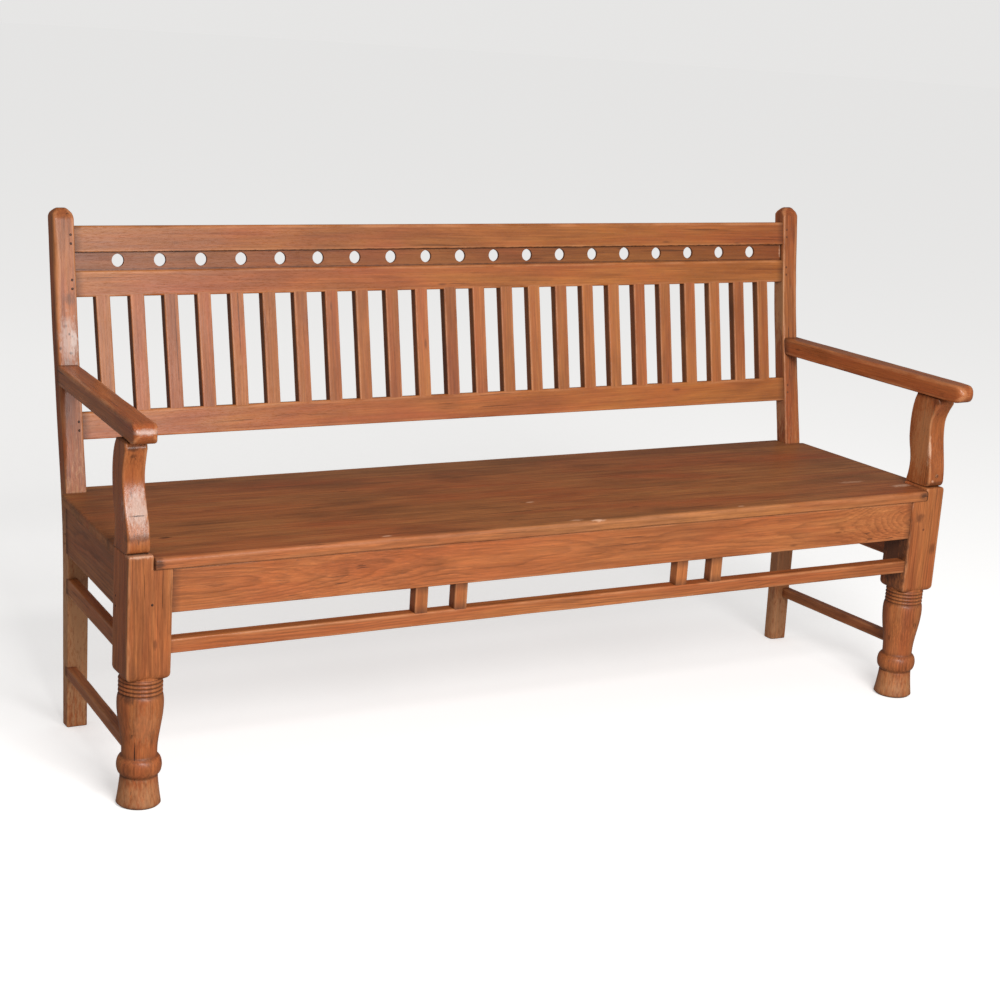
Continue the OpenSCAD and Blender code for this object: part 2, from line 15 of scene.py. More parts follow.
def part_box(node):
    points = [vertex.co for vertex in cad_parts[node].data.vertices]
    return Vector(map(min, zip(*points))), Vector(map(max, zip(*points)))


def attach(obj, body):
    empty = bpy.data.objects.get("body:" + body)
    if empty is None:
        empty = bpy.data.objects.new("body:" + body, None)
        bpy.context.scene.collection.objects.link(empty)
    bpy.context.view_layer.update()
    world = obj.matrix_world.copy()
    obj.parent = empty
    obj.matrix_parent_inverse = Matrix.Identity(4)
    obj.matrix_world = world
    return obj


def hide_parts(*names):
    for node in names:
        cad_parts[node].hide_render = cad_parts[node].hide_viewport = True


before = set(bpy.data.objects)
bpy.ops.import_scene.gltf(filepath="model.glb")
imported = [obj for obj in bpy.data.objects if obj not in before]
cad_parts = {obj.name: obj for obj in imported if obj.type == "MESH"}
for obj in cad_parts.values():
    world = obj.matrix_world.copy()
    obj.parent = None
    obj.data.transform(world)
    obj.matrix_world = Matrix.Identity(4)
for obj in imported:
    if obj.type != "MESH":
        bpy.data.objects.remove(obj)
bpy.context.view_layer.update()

MM = 0.001
X, Y, Z = Vector((1, 0, 0)), Vector((0, 1, 0)), Vector((0, 0, 1))
UPRIGHT = {0: Z, 1: Z, 2: Y}
rng = random.Random(11)

# How finely the pieces are skinned
ARC_STEPS = 4
EDGE_FALLOFF = 3 * MM
SIDE_STEP = 22 * MM
ROW_STEP = 20 * MM
END_ROW = 0.3 * MM
JUST_INSIDE = 0.3 * MM
TURNING_SEGMENTS = 96
PEG_SEGMENTS = 20
GRIME_REACH = 2.5 * MM

# Where members start and end along their own axis, without the ends inside their neighbours
POST_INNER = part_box("rear_post_right")[0].x
BACK_SPAN = (-POST_INNER, POST_INNER)
FRONT_SPAN = (-0.801, 0.801)
SIDE_APRON_SPAN = (-0.1692, 0.1835)
UPPER_STRETCHER_SPAN = (-0.2012, 0.1765)
LOWER_STRETCHER_SPAN = (-0.2012, 0.177)
BEARER_SPAN = (-0.2222, 0.1878)
SLAT_SPAN = (0.5955, 0.802)
STRUT_SPAN = (0.3045, 0.352)
ARM_REAR = 0.2299

# The turned part of the front legs
TURNING_X = 0.8405
TURNING_SETBACK = 40.5 * MM
CREASES = (0.0555, 0.0915, 0.2045)
REEDS_FOOT, REEDS_HEAD = 0.204, 0.2335
REED_CREST, REED_DEPTH = 39 * MM, 1.8 * MM
NECK_RADIUS = 36 * MM

UPSTAND_WIDTH = 45 * MM
SEAT_OVERHANG = 9 * MM
SLATS, STRUTS = 24, 4


# ------------------------------------------------------------------ camera, light and floor

CAMERA_PLACE = (-2.0242, -3.3806, 1.4468)
CAMERA_HEADING, CAMERA_PITCH, CAMERA_ROLL = 30.131, -15.558, 3.805
CAMERA_LENS = 74.8
CAMERA_SHIFT = (0.01645, 0.03646)

# How bright the room is as fill light, and how bright it looks in the wax
ROOM, REFLECTED_ROOM = 0.39, 0.13

STAGE_REACH, BACKDROP_HEIGHT, BACKDROP_SIDES = 30, 12, 64
STAGE_GREY, STAGE_GLOW = 0.93, 0.42
WARM_WHITE = (1.0, 0.985, 0.965)


def add_camera():
    data = bpy.data.cameras.new("camera")
    data.lens = CAMERA_LENS
    data.shift_x, data.shift_y = CAMERA_SHIFT
    camera = bpy.data.objects.new("camera", data)
    camera.location = CAMERA_PLACE
    turn = Euler((0, 0, math.radians(-CAMERA_HEADING))).to_matrix()
    tip = Euler((math.radians(90 + CAMERA_PITCH), 0, 0)).to_matrix()
    roll = Euler((0, 0, math.radians(CAMERA_ROLL))).to_matrix()
    camera.rotation_euler = (turn @ tip @ roll).to_euler()
    bpy.context.scene.collection.objects.link(camera)
    bpy.context.scene.camera = camera


def add_area_light(name, place, target, size, power, colour):
    data = bpy.data.lights.new(name, "AREA")
    data.shape = "RECTANGLE"
    data.size, data.size_y = size
    data.energy = power
    data.color = colour
    light = bpy.data.objects.new(name, data)
    light.location = place
    aim = Vector(target) - Vector(place)
    light.rotation_euler = aim.to_track_quat("-Z", "Y").to_euler()
    bpy.context.scene.collection.objects.link(light)


def add_stage_piece(name, points, faces):
    """A pale matt piece of the studio. It doesn't colour the light that falls on the pew."""
    mesh = bpy.data.meshes.new(name)
    mesh.from_pydata(points, [], faces)
    piece = bpy.data.objects.new(name, mesh)
    bpy.context.scene.collection.objects.link(piece)
    piece.visible_diffuse = piece.visible_glossy = False
    paint = bpy.data.materials.new(name + "_paint")
    paint.use_nodes = True
    shader = paint.node_tree.nodes["Principled BSDF"]
    shader.inputs["Base Color"].default_value = (STAGE_GREY, STAGE_GREY, STAGE_GREY, 1)
    shader.inputs["Roughness"].default_value = 0.9
    shader.inputs["Specular IOR Level"].default_value = 0.0
    shader.inputs["Emission Color"].default_value = (1, 1, 1, 1)
    shader.inputs["Emission Strength"].default_value = STAGE_GLOW
    mesh.materials.append(paint)
    return piece


def add_studio():
    scene = bpy.context.scene
    scene.view_settings.view_transform = "Standard"
    world = bpy.data.worlds.new("studio")
    world.use_nodes = True
    background = world.node_tree.nodes["Background"]
    background.inputs["Color"].default_value = (*WARM_WHITE, 1)
    path = world.node_tree.nodes.new("ShaderNodeLightPath")
    dimmed = world.node_tree.nodes.new("ShaderNodeMath")
    dimmed.operation = "MULTIPLY_ADD"
    dimmed.inputs[1].default_value = REFLECTED_ROOM - ROOM
    dimmed.inputs[2].default_value = ROOM
    world.node_tree.links.new(path.outputs["Is Glossy Ray"], dimmed.inputs[0])
    world.node_tree.links.new(dimmed.outputs[0], background.inputs["Strength"])
    scene.world = world
    add_area_light("key", (-0.75, -3.3, 2.5), (0.0, 0, 0.5), (1.5, 1.2), 104, WARM_WHITE)
    add_area_light("sheen", (0.35, -3.5, 1.3), (-0.2, 0, 0.6), (1.1, 0.8), 40, (1, 1, 1))

    far = STAGE_REACH
    add_stage_piece("floor", [(-far, -far, 0), (far, -far, 0), (far, far, 0), (-far, far, 0)],
                    [(0, 1, 2, 3)])
    sides = BACKDROP_SIDES
    turns = [math.radians(360 * k / sides) for k in range(sides)]
    rim = [(far * math.cos(a), far * math.sin(a), z) for z in (0, BACKDROP_HEIGHT) for a in turns]
    wall = [(k, (k + 1) % sides, sides + (k + 1) % sides, sides + k) for k in range(sides)]
    backdrop = add_stage_piece("backdrop", rim, wall)
    backdrop.visible_shadow = False


# ------------------------------------------------------------------ wood

def srgb(red, green, blue):
    """An 8-bit display colour as the linear colour that a shader takes."""
    def linear(value):
        value /= 255
        return value / 12.92 if value <= 0.04045 else ((value + 0.055) / 1.055) ** 2.4
    return (linear(red), linear(green), linear(blue), 1)


class Graph:
    """Short calls that add shader nodes and return their output sockets."""

    def __init__(self, tree):
        self.tree = tree

    def add(self, kind, output=0, settings=None, **inputs):
        """An output of a new node of that kind. output=None gives all of its outputs."""
        node = self.tree.nodes.new(kind)
        for key, value in (settings or {}).items():
            setattr(node, key, value)
        for key, value in inputs.items():
            name = key.replace("_", " ")
            self.feed(node.inputs[name], value)
        return node.outputs if output is None else node.outputs[output]

    def feed(self, socket, value):
        if isinstance(value, bpy.types.NodeSocket):
            self.tree.links.new(value, socket)
        else:
            socket.default_value = value

    def math(self, operation, *values, clamp=False):
        node = self.tree.nodes.new("ShaderNodeMath")
        node.operation = operation
        node.use_clamp = clamp
        for socket, value in zip(node.inputs, values):
            self.feed(socket, value)
        return node.outputs[0]

    def vector(self, operation, first, second, output=0):
        node = self.tree.nodes.new("ShaderNodeVectorMath")
        node.operation = operation
        self.feed(node.inputs[0], first)
        self.feed(node.inputs[1], second)
        return node.outputs[output]

    def stretch(self, vector, scale):
        return self.vector("MULTIPLY", vector, scale)

    def length(self, vector):
        return self.vector("LENGTH", vector, (0, 0, 0), 1)

    def noise(self, vector, scale=(1, 1, 1), detail=3.0, roughness=0.55, distortion=0.0):
        return self.add(
            "ShaderNodeTexNoise", 0,
            Vector=self.stretch(vector, scale), Scale=1.0,
            Detail=detail, Roughness=roughness, Distortion=distortion,
        )

    def spread(self, value, low, high, to_low=0.0, to_high=1.0):
        """Maps low..high onto to_low..to_high, without going past either."""
        node = self.tree.nodes.new("ShaderNodeMapRange")
        for socket, number in zip(node.inputs, (value, low, high, to_low, to_high)):
            self.feed(socket, number)
        return node.outputs[0]

    def mix(self, factor, first, second, blend="MIX"):
        node = self.tree.nodes.new("ShaderNodeMix")
        node.data_type = "RGBA"
        node.blend_type = blend
        self.feed(node.inputs["Factor"], factor)
        self.feed(node.inputs[6], first)
        self.feed(node.inputs[7], second)
        return node.outputs[2]

    def scaled(self, colour, factor):
        grey = self.add("ShaderNodeCombineColor", 0, Red=factor, Green=factor, Blue=factor)
        return self.mix(1.0, colour, grey, "MULTIPLY")


def attribute(graph, name, output):
    node = graph.tree.nodes.new("ShaderNodeAttribute")
    node.attribute_name = name
    return node.outputs[output]


# Besides dirt, cracks and soil, these colours also paint shade: the grime colour in corners, the soil
# colour on faces under the seat, the crack colour in shadow lines.
KNOT, SOIL_AND_SHADE, CRACK_AND_SHADOW_LINE, GRIME_AND_SHADE = srgb(72, 40, 25), srgb(72, 44, 30), srgb(44, 25, 17), srgb(52, 30, 19)
# Besides scuffs, bleaching and fading, these colours also paint light: highlights in the scuff and bleach
# colours, lightened shaded faces in the faded colour.
SCUFF_AND_HIGHLIGHT, BLEACH_AND_HIGHLIGHT, FADED_AND_PAINTED_LIGHT = srgb(218, 172, 142), srgb(202, 178, 166), srgb(196, 144, 100)
CHALK = srgb(224, 210, 202)


def wood(name, light, middle, dark, worn, red=None, rings=230.0, figure=0.5, streaks=0.5, gloss=0.42,
         scuffs=0.2, mottle=0.5, checks=0.5, corner_shade=0.6, marks=()):
    """Waxed timber whose rings, fibres and pores follow the piece's own grain coordinates.

    figure is how strongly the growth rings show, streaks how strongly the fibres do, gloss the
    roughness of the wax, scuffs how much pale scuffing there is, mottle how cloudy the colour is,
    checks how dark its drying cracks are and corner_shade how dark the painted shade is that
    ambient occlusion lays in its inside corners. marks are (place, size, colour, strength), one
    for each knot, scuff, stain or bleached patch that stands out, and one for each painted
    highlight, painted shadow line and patch of painted shade and painted light.
    """
    material = bpy.data.materials.new(name)
    material.use_nodes = True
    graph = Graph(material.node_tree)
    shader = material.node_tree.nodes["Principled BSDF"]
    grain = attribute(graph, "grain", "Vector")
    wear = attribute(graph, "wear", "Fac")
    grime = attribute(graph, "grime", "Fac")
    tone = attribute(graph, "tone", "Fac")

    # Growth rings round a pith line that lies off the piece and wanders a little
    parts = graph.add("ShaderNodeSeparateXYZ", None, Vector=grain)
    across = graph.math("POWER", parts[1], 2.0)
    through = graph.math("POWER", parts[2], 2.0)
    radius = graph.math("SQRT", graph.math("ADD", across, through))
    slow = graph.noise(grain, (1.7, 9, 9), 2.0, 0.5)
    quick = graph.noise(grain, (11, 70, 70), 4.0, 0.6)
    wander = graph.math("ADD", graph.math("MULTIPLY", slow, 0.03), graph.math("MULTIPLY", quick, 0.006))
    ring = graph.math("FRACT", graph.math("MULTIPLY", graph.math("ADD", radius, wander), rings))
    rise = graph.math("POWER", graph.spread(ring, 0.0, 0.82), 2.2)
    late_wood = graph.math("MULTIPLY", rise, graph.spread(ring, 0.86, 1.0, 1.0, 0.0))
    faded = graph.spread(graph.noise(grain, (4, 26, 26), 3.0, 0.6), 0.32, 0.62, 0.25, 1.0)
    late_wood = graph.math("MULTIPLY", late_wood, faded)

    # Broad and narrow streaks, fibres, pores and cloudy patches
    fibre = graph.noise(grain, (9, 900, 900), 3.0, 0.6)
    streak = graph.noise(grain, (2.4, 75, 75), 4.0, 0.6, 0.3)
    thread = graph.noise(grain, (8, 270, 270), 4.0, 0.62, 0.2)
    cloud = graph.noise(grain, (4.2, 19, 19), 5.0, 0.62, 0.4)
    blush = graph.noise(grain, (2.3, 11, 11), 3.0, 0.55, 0.5)
    pores = graph.spread(graph.noise(grain, (70, 1900, 1900), 2.0, 0.5), 0.60, 0.68)

    body = graph.mix(graph.spread(streak, 0.30, 0.72), middle, light)
    body = graph.mix(graph.spread(blush, 0.42, 0.68, 0.0, 0.75), body, red or middle)
    body = graph.mix(graph.spread(cloud, 0.46, 0.74, 0.0, mottle), body, dark)
    body = graph.mix(graph.math("MULTIPLY", late_wood, figure), body, dark)
    fine = graph.spread(fibre, 0.32, 0.7, 1.0 - 0.34 * streaks, 1.0 + 0.18 * streaks)
    narrow = graph.spread(thread, 0.3, 0.72, 1.0 - 0.36 * streaks, 1.0 + 0.26 * streaks)
    body = graph.scaled(body, graph.math("MULTIPLY", fine, narrow))
    body = graph.mix(graph.math("MULTIPLY", pores, 0.3), body, dark)

    # Each piece was cut from its own board, so its tone differs a little. The armrests' lighter tone is
    # painted sheen.
    body = graph.scaled(body, graph.spread(tone, 0.0, 1.0, 0.72, 1.14))

    # Pin knots and drying cracks
    cells = graph.tree.nodes.new("ShaderNodeTexVoronoi")
    cells.inputs["Scale"].default_value = 1.0
    graph.feed(cells.inputs["Vector"], graph.stretch(grain, (10, 38, 38)))
    chosen = graph.spread(graph.add("ShaderNodeSeparateColor", 0, Color=cells.outputs["Color"]), 0.76, 0.80)
    knot = graph.math("MULTIPLY", graph.spread(cells.outputs["Distance"], 0.13, 0.05), chosen)
    body = graph.mix(graph.math("MULTIPLY", knot, 0.5), body, KNOT)
    split = graph.spread(graph.noise(grain, (3.4, 190, 190), 2.0, 0.5), 0.69, 0.702)
    body = graph.mix(graph.math("MULTIPLY", split, checks), body, CRACK_AND_SHADOW_LINE)

    # Rubbed arrises, pale scuffs, the marks that stand out (some of them painted highlights, painted light
    # and painted shade), dirt left where pieces meet, and painted shade in inside corners
    patch = graph.noise(grain, (11, 45, 45), 4.0, 0.65)
    rubbed = graph.math("MULTIPLY", wear, graph.spread(patch, 0.38, 0.62))
    body = graph.mix(graph.math("MULTIPLY", rubbed, 0.5), body, worn)
    scuffed = graph.spread(graph.noise(grain, (6, 75, 75), 5.0, 0.7, 0.6), 0.66, 0.76, 0.0, scuffs)
    body = graph.mix(scuffed, body, worn)
    if marks:
        ragged = graph.spread(graph.noise(grain, (70, 210, 210), 5.0, 0.7), 0.25, 0.75, -0.6, 0.6)
        position = graph.add("ShaderNodeTexCoord", 3)
    for place, size, colour, strength in marks:
        offset = graph.stretch(graph.vector("SUBTRACT", position, place), [1 / value for value in size])
        away = graph.math("ADD", graph.length(offset), ragged)
        body = graph.mix(graph.spread(away, 1.1, 0.45, 0.0, strength), body, colour)
    stain = graph.spread(graph.noise(grain, (16, 90, 90), 4.0, 0.6), 0.25, 0.6, 0.5, 0.95)
    dirt_and_shade = graph.math("MULTIPLY", grime, stain, clamp=True)
    # Painted shade: ambient occlusion darkens inside corners and the gaps between parts towards the grime
    # colour.
    painted_corner_shade = graph.add("ShaderNodeAmbientOcclusion", 1, {"samples": 6}, Distance=6 * MM)
    dirt_and_shade = graph.math("MAXIMUM", dirt_and_shade, graph.spread(painted_corner_shade, 0.3, 0.7, corner_shade, 0.0))
    body = graph.mix(dirt_and_shade, body, GRIME_AND_SHADE)
    graph.feed(shader.inputs["Base Color"], body)

    rough = graph.spread(patch, 0.3, 0.7, gloss - 0.07, gloss + 0.10)
    rough = graph.math("SUBTRACT", rough, graph.math("MULTIPLY", rubbed, 0.08))
    rough = graph.math("ADD", rough, graph.math("MULTIPLY", dirt_and_shade, 0.25))
    graph.feed(shader.inputs["Roughness"], rough)
    shader.inputs["Specular IOR Level"].default_value = 0.36
    shader.inputs["Coat Weight"].default_value = 0.1
    shader.inputs["Coat Roughness"].default_value = 0.2

    relief = graph.math("MULTIPLY", fibre, 0.45)
    relief = graph.math("SUBTRACT", relief, graph.math("MULTIPLY", pores, 0.4))
    relief = graph.math("ADD", relief, graph.math("MULTIPLY", late_wood, 0.25))
    relief = graph.math("ADD", relief, graph.math("MULTIPLY", patch, 1.1))
    relief = graph.math("ADD", relief, graph.math("MULTIPLY", thread, 0.5))
    relief = graph.math("SUBTRACT", relief, graph.math("MULTIPLY", split, checks))
    bump = graph.add("ShaderNodeBump", 0, Strength=0.6, Distance=0.5 * MM, Height=relief)
    graph.feed(shader.inputs["Normal"], bump)
    return material


SEAT_MARKS = [
    ((-0.7744, -0.1389, 0.452), (0.012, 0.0055, 0.008), KNOT, 0.95),
    ((-0.3975, -0.2387, 0.452), (0.013, 0.003, 0.006), SCUFF_AND_HIGHLIGHT, 0.8),
    ((-0.0240, -0.1019, 0.452), (0.009, 0.003, 0.006), SCUFF_AND_HIGHLIGHT, 0.8),
    ((-0.0038, -0.2407, 0.452), (0.015, 0.004, 0.006), SCUFF_AND_HIGHLIGHT, 0.6),
    ((0.0391, -0.2495, 0.452), (0.016, 0.005, 0.006), SCUFF_AND_HIGHLIGHT, 0.8),
    ((0.3709, -0.2413, 0.452), (0.007, 0.003, 0.006), SCUFF_AND_HIGHLIGHT, 0.8),
    ((0.7205, -0.1417, 0.452), (0.035, 0.007, 0.006), SCUFF_AND_HIGHLIGHT, 0.35),
    ((0.8150, -0.1943, 0.452), (0.030, 0.010, 0.006), SCUFF_AND_HIGHLIGHT, 0.7),
    ((-0.8260, -0.2515, 0.440), (0.010, 0.010, 0.012), SOIL_AND_SHADE, 0.7),
    ((0.8240, -0.2515, 0.444), (0.011, 0.012, 0.008), SOIL_AND_SHADE, 0.8),
]
RAIL_MARKS = [
    # The first two are painted shadow lines across the whole back, along the top and the bottom of the
    # pierced strip.
    ((0.0, 0.2800, 0.8812), (2.0, 0.030, 0.0019), CRACK_AND_SHADOW_LINE, 0.8),
    ((0.0, 0.2800, 0.8494), (2.0, 0.030, 0.0013), CRACK_AND_SHADOW_LINE, 0.6),
    ((0.7995, 0.2790, 0.8650), (0.0022, 0.012, 0.0150), SCUFF_AND_HIGHLIGHT, 0.7),
]
LEG_MARKS = [
    ((0.8240, -0.2502, 0.396), (0.013, 0.010, 0.010), KNOT, 0.5),
    ((0.8672, -0.2502, 0.326), (0.010, 0.010, 0.012), KNOT, 0.5),
    ((-0.8300, -0.2502, 0.300), (0.004, 0.010, 0.010), KNOT, 0.5),
    ((-0.8225, 0.2345, 0.728), (0.019, 0.035, 0.050), BLEACH_AND_HIGHLIGHT, 0.55),
    ((-0.8225, 0.2345, 0.665), (0.017, 0.030, 0.035), BLEACH_AND_HIGHLIGHT, 0.35),
    ((-0.8180, 0.2495, 0.800), (0.012, 0.020, 0.014), SOIL_AND_SHADE, 0.45),
    ((-0.8207, 0.2345, 0.736), (0.0025, 0.02, 0.003), CRACK_AND_SHADOW_LINE, 0.9),
    ((-0.8150, 0.2345, 0.732), (0.0022, 0.02, 0.0025), CRACK_AND_SHADOW_LINE, 0.8),
    ((-0.8194, 0.2345, 0.702), (0.004, 0.02, 0.0025), CRACK_AND_SHADOW_LINE, 0.6),
    ((-0.8383, 0.2345, 0.711), (0.0035, 0.02, 0.003), CRACK_AND_SHADOW_LINE, 0.6),
    ((-0.8287, 0.2345, 0.751), (0.006, 0.02, 0.003), CRACK_AND_SHADOW_LINE, 0.5),
    ((-0.8349, 0.2345, 0.803), (0.004, 0.02, 0.005), CRACK_AND_SHADOW_LINE, 0.6),
    ((-0.8422, 0.2345, 0.790), (0.0035, 0.02, 0.004), CRACK_AND_SHADOW_LINE, 0.5),
    # Painted light: the next two lighten the front faces of the rear legs under the seat, which the seat
    # shades, the left one most.
    ((-0.8200, 0.1900, 0.2200), (0.050, 0.060, 0.260), FADED_AND_PAINTED_LIGHT, 0.85),
    ((0.8200, 0.1900, 0.2200), (0.050, 0.060, 0.260), FADED_AND_PAINTED_LIGHT, 0.4),
    ((-0.8600, -0.2455, 0.4555), (0.030, 0.020, 0.004), SCUFF_AND_HIGHLIGHT, 0.5),
    ((-0.8405, -0.2122, 0.0200), (0.055, 0.055, 0.040), FADED_AND_PAINTED_LIGHT, 0.5),
    ((0.8405, -0.2122, 0.0200), (0.055, 0.055, 0.040), FADED_AND_PAINTED_LIGHT, 0.5),
    ((0.8215, 0.1785, 0.0400), (0.040, 0.040, 0.080), FADED_AND_PAINTED_LIGHT, 0.45),
    # Painted shade: the next two darken the inner faces of the right front and rear legs under the seat.
    ((0.8010, -0.2000, 0.3150), (0.006, 0.070, 0.100), SOIL_AND_SHADE, 0.8),
    ((0.8035, 0.1800, 0.3250), (0.012, 0.060, 0.080), SOIL_AND_SHADE, 0.75),
    ((-0.8130, 0.2345, 0.7250), (0.008, 0.035, 0.026), CHALK, 0.4),
    ((-0.8250, 0.2345, 0.6850), (0.009, 0.035, 0.010), SOIL_AND_SHADE, 0.35),
    # Painted light: the next two lighten the inner face of the right rear post.
    ((0.8035, 0.2500, 0.7700), (0.004, 0.050, 0.110), FADED_AND_PAINTED_LIGHT, 0.55),
    ((0.8035, 0.2350, 0.5300), (0.004, 0.050, 0.060), FADED_AND_PAINTED_LIGHT, 0.40),
    ((-0.8450, -0.2470, 0.1550), (0.030, 0.016, 0.040), FADED_AND_PAINTED_LIGHT, 0.25),
    ((-0.8700, -0.2350, 0.2000), (0.012, 0.014, 0.010), SOIL_AND_SHADE, 0.6),
    ((-0.8300, -0.2510, 0.1300), (0.006, 0.012, 0.022), SOIL_AND_SHADE, 0.5),
    ((-0.8420, -0.2600, 0.0400), (0.005, 0.010, 0.012), SOIL_AND_SHADE, 0.5),
]
ARM_MARKS = [
    # Painted highlight: a pale patch on the front of the left arm support, where its curved face catches
    # the light.
    ((-0.8570, -0.2335, 0.5330), (0.027, 0.040, 0.036), BLEACH_AND_HIGHLIGHT, 0.6),
    ((-0.8597, -0.2305, 0.5210), (0.015, 0.020, 0.0013), CRACK_AND_SHADOW_LINE, 0.8),
    ((-0.8590, -0.2405, 0.4860), (0.030, 0.020, 0.008), SOIL_AND_SHADE, 0.5),
    ((-0.8520, -0.2355, 0.6420), (0.009, 0.020, 0.005), CRACK_AND_SHADOW_LINE, 0.9),
    ((-0.8670, -0.2255, 0.6330), (0.011, 0.020, 0.005), KNOT, 0.7),
    ((-0.8650, -0.2255, 0.6205), (0.007, 0.020, 0.004), KNOT, 0.6),
    ((0.8600, -0.2455, 0.4640), (0.030, 0.030, 0.006), SOIL_AND_SHADE, 0.5),
    ((0.8420, -0.2455, 0.6350), (0.010, 0.020, 0.007), KNOT, 0.6),
    # Painted highlight: a pale band across the front of the left armrest's nose.
    ((-0.8560, -0.2575, 0.6690), (0.030, 0.012, 0.0060), BLEACH_AND_HIGHLIGHT, 0.5),
    # Painted light: lightens the inner face of the right arm support.
    ((0.8400, -0.2150, 0.5500), (0.004, 0.040, 0.090), FADED_AND_PAINTED_LIGHT, 0.4),
    ((0.8600, -0.2560, 0.6560), (0.030, 0.012, 0.008), SOIL_AND_SHADE, 0.6),
    # Painted highlight: a thin pale line down the front inner arris of the right arm support.
    ((0.8425, -0.2345, 0.5350), (0.0035, 0.006, 0.034), SCUFF_AND_HIGHLIGHT, 0.75),
    ((0.8500, -0.2455, 0.4700), (0.004, 0.012, 0.004), SCUFF_AND_HIGHLIGHT, 0.7),
]


def make_woods():
    worn = srgb(206, 140, 94)
    return {
        "rail_wood": wood("rail_wood", srgb(186, 117, 58), srgb(166, 93, 44), srgb(120, 66, 34), worn,
                          srgb(170, 86, 48), rings=170, figure=0.2, streaks=0.5, mottle=0.5, corner_shade=0.3,
                          marks=RAIL_MARKS),
        "slat_wood": wood("slat_wood", srgb(188, 120, 66), srgb(170, 98, 52), srgb(120, 66, 37), worn,
                          srgb(172, 92, 56), rings=190, figure=0.18, streaks=0.5, mottle=0.55,
                          corner_shade=0.15),
        "seat_wood": wood("seat_wood", srgb(190, 122, 68), srgb(162, 98, 54), srgb(114, 70, 40),
                          srgb(196, 128, 84), srgb(176, 88, 46), rings=120, figure=0.25, streaks=0.7,
                          gloss=0.55, scuffs=0.35, mottle=0.75, marks=SEAT_MARKS),
        "leg_wood": wood("leg_wood", srgb(190, 117, 65), srgb(170, 95, 50), srgb(110, 60, 34), worn,
                         srgb(176, 86, 46), rings=230, figure=0.42, streaks=0.8, scuffs=0.35, mottle=0.7,
                         checks=0.9, marks=LEG_MARKS),
        "arm_wood": wood("arm_wood", srgb(186, 112, 62), srgb(164, 90, 48), srgb(108, 58, 32), worn,
                         srgb(160, 78, 44), rings=220, figure=0.3, streaks=0.6, gloss=0.29, mottle=0.6,
                         marks=ARM_MARKS),
        "frame_wood": wood("frame_wood", srgb(202, 126, 72), srgb(180, 104, 57), srgb(124, 70, 38), worn,
                           srgb(184, 96, 52), rings=290, figure=0.55, streaks=0.6, mottle=0.45),
        "peg_wood": wood("peg_wood", srgb(150, 88, 52), srgb(128, 72, 42), srgb(70, 40, 26),
                         srgb(206, 150, 108), rings=500, figure=0.4, streaks=0.3, gloss=0.5),
    }


WOODS = make_woods()


# ------------------------------------------------------------------ meshes

class Skin:
    """The growing mesh of one piece, with the grain, wear and grime of each of its points.

    pith is where the tree's middle lay, across and through the piece, and drift how far that slants
    for each metre along it. bends are (start, end, amount), where the pith bows away.
    """

    def __init__(self, pith=None, drift=(0.0, 0.0), tone=None, bends=()):
        self.points, self.faces = [], []
        self.grain, self.wear, self.grime = [], [], []
        self.seed = rng.random() * 90
        self.shift = rng.random() * 40
        angle = rng.uniform(0, 2 * math.pi)
        reach = rng.uniform(0.05, 0.13)
        self.pith = pith or (reach * math.cos(angle), reach * math.sin(angle))
        self.drift = drift
        self.tone = rng.uniform(0.35, 0.85) if tone is None else tone
        self.bends = bends
        self.tones = None

    def add(self, point, along, across, through, wear=0.0, grime=0.0):
        for start, end, amount in self.bends:
            share = min(max((along - start) / (end - start), 0), 1)
            across += amount * share * share * (3 - 2 * share)
        self.points.append(tuple(point))
        self.grain.append((
            along + self.shift,
            across - self.pith[0] + along * self.drift[0],
            through - self.pith[1] + along * self.drift[1],
        ))
        self.wear.append(wear)
        self.grime.append(grime)
        return len(self.points) - 1

    def bridge(self, first, second):
        count = len(first)
        for k in range(count):
            after = (k + 1) % count
            self.faces.append((first[k], first[after], second[after], second[k]))

    def cap(self, ring, reverse=False):
        self.faces.append(tuple(reversed(ring)) if reverse else tuple(ring))

    def finish(self, name, nodes, slot):
        mesh = bpy.data.meshes.new(name)
        mesh.from_pydata(self.points, [], self.faces)
        mesh.attributes.new("grain", "FLOAT_VECTOR", "POINT").data.foreach_set(
            "vector", np.array(self.grain, np.float32).ravel())
        for key, values in (("wear", self.wear), ("grime", self.grime),
                            ("tone", self.tones or [self.tone] * len(self.points))):
            mesh.attributes.new(key, "FLOAT", "POINT").data.foreach_set(
                "value", np.array(values, np.float32))
        mesh.polygons.foreach_set("use_smooth", [True] * len(mesh.polygons))
        mesh.materials.append(WOODS[slot])
        piece = bpy.data.objects.new(name, mesh)
        bpy.context.scene.collection.objects.link(piece)
        piece.modifiers.new("even_shading", "WEIGHTED_NORMAL")
        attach(piece, "root")
        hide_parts(*nodes)
        return piece


